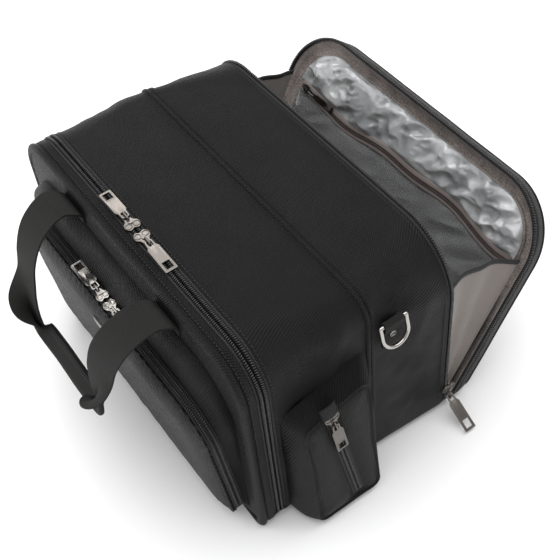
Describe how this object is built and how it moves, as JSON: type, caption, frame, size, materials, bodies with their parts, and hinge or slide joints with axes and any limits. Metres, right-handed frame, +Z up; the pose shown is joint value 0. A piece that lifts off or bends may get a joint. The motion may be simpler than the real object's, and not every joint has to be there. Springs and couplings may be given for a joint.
{
  "type": "flight bag",
  "caption": "Soft black crew flight bag with a zipped front door and pocket, end pockets, a webbing carry handle, strap rings and an open rear flap with a clear pocket.",
  "frame": {"origin": "centre of the main body's base, on the surface that the bag stands on", "axes": "+X across the width to the bag's right end (seen from behind the door, the side with the +X strap ring), -Y out of the front door, +Y out of the rear flap, +Z up"},
  "size_m": [0.474, 0.4692, 0.2607],
  "materials": {
    "outer_twill": "matt",
    "foam": "matt",
    "grey_lining": "matt",
    "base_fibreboard": "matt",
    "black_binding": "satin",
    "black_backing": "satin",
    "black_zipper": "satin",
    "grey_zipper": "satin",
    "clear_vinyl": "glossy",
    "webbing": "matt",
    "satin_nickel": "satin",
    "dark_nickel": "satin"
  },
  "bodies": {
    "bag_body": {"front_shell": "outer_twill", "front_foam": "foam", "front_lining": "grey_lining", "rear_shell": "outer_twill", "rear_foam": "foam", "rear_lining": "grey_lining", "divider_panel": "grey_lining", "base_board": "base_fibreboard", "seam_piping": "black_binding", "main_zip_body": "black_zipper", "rear_zip_body": "black_zipper", "side_pocket_left": "outer_twill", "side_pocket_right": "outer_twill", "side_zip_left": "black_zipper", "side_zip_right": "black_zipper", "ring_tabs": "webbing", "ring_rivets": "satin_nickel", "side_gussets": "grey_lining", "door_hinge": "outer_twill", "flap_hinge": "outer_twill"},
    "front_door": {"door_rim": "outer_twill", "door_panel": "outer_twill", "door_lining": "grey_lining", "main_zip_door": "black_zipper", "front_pocket_gusset": "outer_twill", "front_pocket_face": "outer_twill", "front_pocket_zip": "black_zipper", "badge_plate": "satin_nickel", "handle_roots": "webbing"},
    "carry_handle": {"carry_handle": "webbing"},
    "rear_flap": {"flap_rim": "outer_twill", "flap_panel": "outer_twill", "flap_lining": "grey_lining", "flap_zip": "black_zipper", "backing_panel": "black_backing", "clear_pocket_binding": "black_binding", "clear_window_upper": "clear_vinyl", "clear_window_lower": "clear_vinyl", "clear_zip": "grey_zipper", "trolley_sleeve": "outer_twill"},
    "strap_ring_left": {"strap_ring_left": "satin_nickel"},
    "strap_ring_right": {"strap_ring_right": "satin_nickel"},
    "main_left_slider": {"main_left_slider": "dark_nickel"},
    "main_left_pull": {"main_left_pull": "dark_nickel"},
    "pocket_left_slider": {"pocket_left_slider": "dark_nickel"},
    "pocket_left_pull": {"pocket_left_pull": "dark_nickel"},
    "rear_left_slider": {"rear_left_slider": "dark_nickel"},
    "rear_left_pull": {"rear_left_pull": "dark_nickel"},
    "side_left_slider": {"side_left_slider": "dark_nickel"},
    "side_left_pull": {"side_left_pull": "dark_nickel"},
    "main_right_slider": {"main_right_slider": "dark_nickel"},
    "main_right_pull": {"main_right_pull": "dark_nickel"},
    "pocket_right_slider": {"pocket_right_slider": "dark_nickel"},
    "pocket_right_pull": {"pocket_right_pull": "dark_nickel"},
    "rear_right_slider": {"rear_right_slider": "dark_nickel"},
    "rear_right_pull": {"rear_right_pull": "dark_nickel"},
    "side_right_slider": {"side_right_slider": "dark_nickel"},
    "side_right_pull": {"side_right_pull": "dark_nickel"},
    "clear_slider": {"clear_slider": "dark_nickel"},
    "clear_pull": {"clear_pull": "dark_nickel"}
  },
  "joints": [
    {"name": "door_swing", "type": "hinge", "parent": "bag_body", "child": "front_door", "pos_m": [0, -0.103, 0], "axis": [1, 0, 0], "range_deg": [0, 60], "deforming": ["door_hinge"]},
    {"name": "handle_swing", "type": "hinge", "parent": "front_door", "child": "carry_handle", "pos_m": [0, -0.148, 0.249], "axis": [-1, 0, 0], "range_deg": [0, 125]},
    {"name": "flap_swing", "type": "hinge", "parent": "bag_body", "child": "rear_flap", "pos_m": [0, 0.1105, 0], "axis": [-1, 0, 0], "range_deg": [-30.4, 0], "deforming": ["side_gussets", "flap_hinge"]},
    {"name": "main_left_slider_run", "type": "slide", "parent": "bag_body", "child": "main_left_slider", "axis": [-1, 0, 0], "range_m": [0, 0.12]},
    {"name": "main_left_pull_swing", "type": "hinge", "parent": "main_left_slider", "child": "main_left_pull", "pos_m": [-0.0195, -0.103, 0.2582], "axis": [0, 1, 0], "range_deg": [0, 105]},
    {"name": "pocket_left_slider_run", "type": "slide", "parent": "front_door", "child": "pocket_left_slider", "axis": [-1, 0, 0], "range_m": [0, 0.1]},
    {"name": "pocket_left_pull_swing", "type": "hinge", "parent": "pocket_left_slider", "child": "pocket_left_pull", "pos_m": [-0.018, -0.15089, 0.19294], "axis": [0, 0.9958, 0.0916], "range_deg": [0, 105]},
    {"name": "rear_left_slider_run", "type": "slide", "parent": "bag_body", "child": "rear_left_slider", "axis": [0, 0, 1], "range_m": [0, 0.14]},
    {"name": "rear_left_pull_swing", "type": "hinge", "parent": "rear_left_slider", "child": "rear_left_pull", "pos_m": [-0.2012, 0.1105, 0.024], "axis": [0, 1, 0], "range_deg": [-57.6, 40]},
    {"name": "side_left_slider_run", "type": "slide", "parent": "bag_body", "child": "side_left_slider", "axis": [-0.0916, 0.1392, -0.986], "range_m": [0, 0.1]},
    {"name": "side_left_pull_swing", "type": "hinge", "parent": "side_left_slider", "child": "side_left_pull", "pos_m": [-0.21935, -0.04729, 0.14296], "axis": [0.0129, 0.9903, 0.1386], "range_deg": [0, 110]},
    {"name": "main_right_slider_run", "type": "slide", "parent": "bag_body", "child": "main_right_slider", "axis": [1, 0, 0], "range_m": [0, 0.12]},
    {"name": "main_right_pull_swing", "type": "hinge", "parent": "main_right_slider", "child": "main_right_pull", "pos_m": [0.0195, -0.103, 0.2582], "axis": [0, -1, 0], "range_deg": [0, 105]},
    {"name": "pocket_right_slider_run", "type": "slide", "parent": "front_door", "child": "pocket_right_slider", "axis": [1, 0, 0], "range_m": [0, 0.1]},
    {"name": "pocket_right_pull_swing", "type": "hinge", "parent": "pocket_right_slider", "child": "pocket_right_pull", "pos_m": [0.018, -0.15089, 0.19294], "axis": [0, -0.9958, -0.0916], "range_deg": [0, 105]},
    {"name": "rear_right_slider_run", "type": "slide", "parent": "bag_body", "child": "rear_right_slider", "axis": [0, 0, 1], "range_m": [0, 0.14]},
    {"name": "rear_right_pull_swing", "type": "hinge", "parent": "rear_right_slider", "child": "rear_right_pull", "pos_m": [0.2012, 0.1105, 0.024], "axis": [0, -1, 0], "range_deg": [-57.6, 40]},
    {"name": "side_right_slider_run", "type": "slide", "parent": "bag_body", "child": "side_right_slider", "axis": [0.0916, 0.1392, -0.986], "range_m": [0, 0.1]},
    {"name": "side_right_pull_swing", "type": "hinge", "parent": "side_right_slider", "child": "side_right_pull", "pos_m": [0.21935, -0.04729, 0.14296], "axis": [0.0129, -0.9903, -0.1386], "range_deg": [0, 110]},
    {"name": "clear_slider_run", "type": "slide", "parent": "rear_flap", "child": "clear_slider", "axis": [1, 0, 0], "range_m": [0, 0.27]},
    {"name": "clear_pull_swing", "type": "hinge", "parent": "clear_slider", "child": "clear_pull", "pos_m": [-0.15, 0.20052, 0.15008], "axis": [0, -0.506, -0.8625], "range_deg": [0, 100]},
    {"name": "strap_ring_left_swing", "type": "hinge", "parent": "bag_body", "child": "strap_ring_left", "pos_m": [-0.19833, 0.036, 0.208], "axis": [0, 1, 0], "range_deg": [0, 140]},
    {"name": "strap_ring_right_swing", "type": "hinge", "parent": "bag_body", "child": "strap_ring_right", "pos_m": [0.19833, 0.036, 0.208], "axis": [0, -1, 0], "range_deg": [0, 140]}
  ]
}
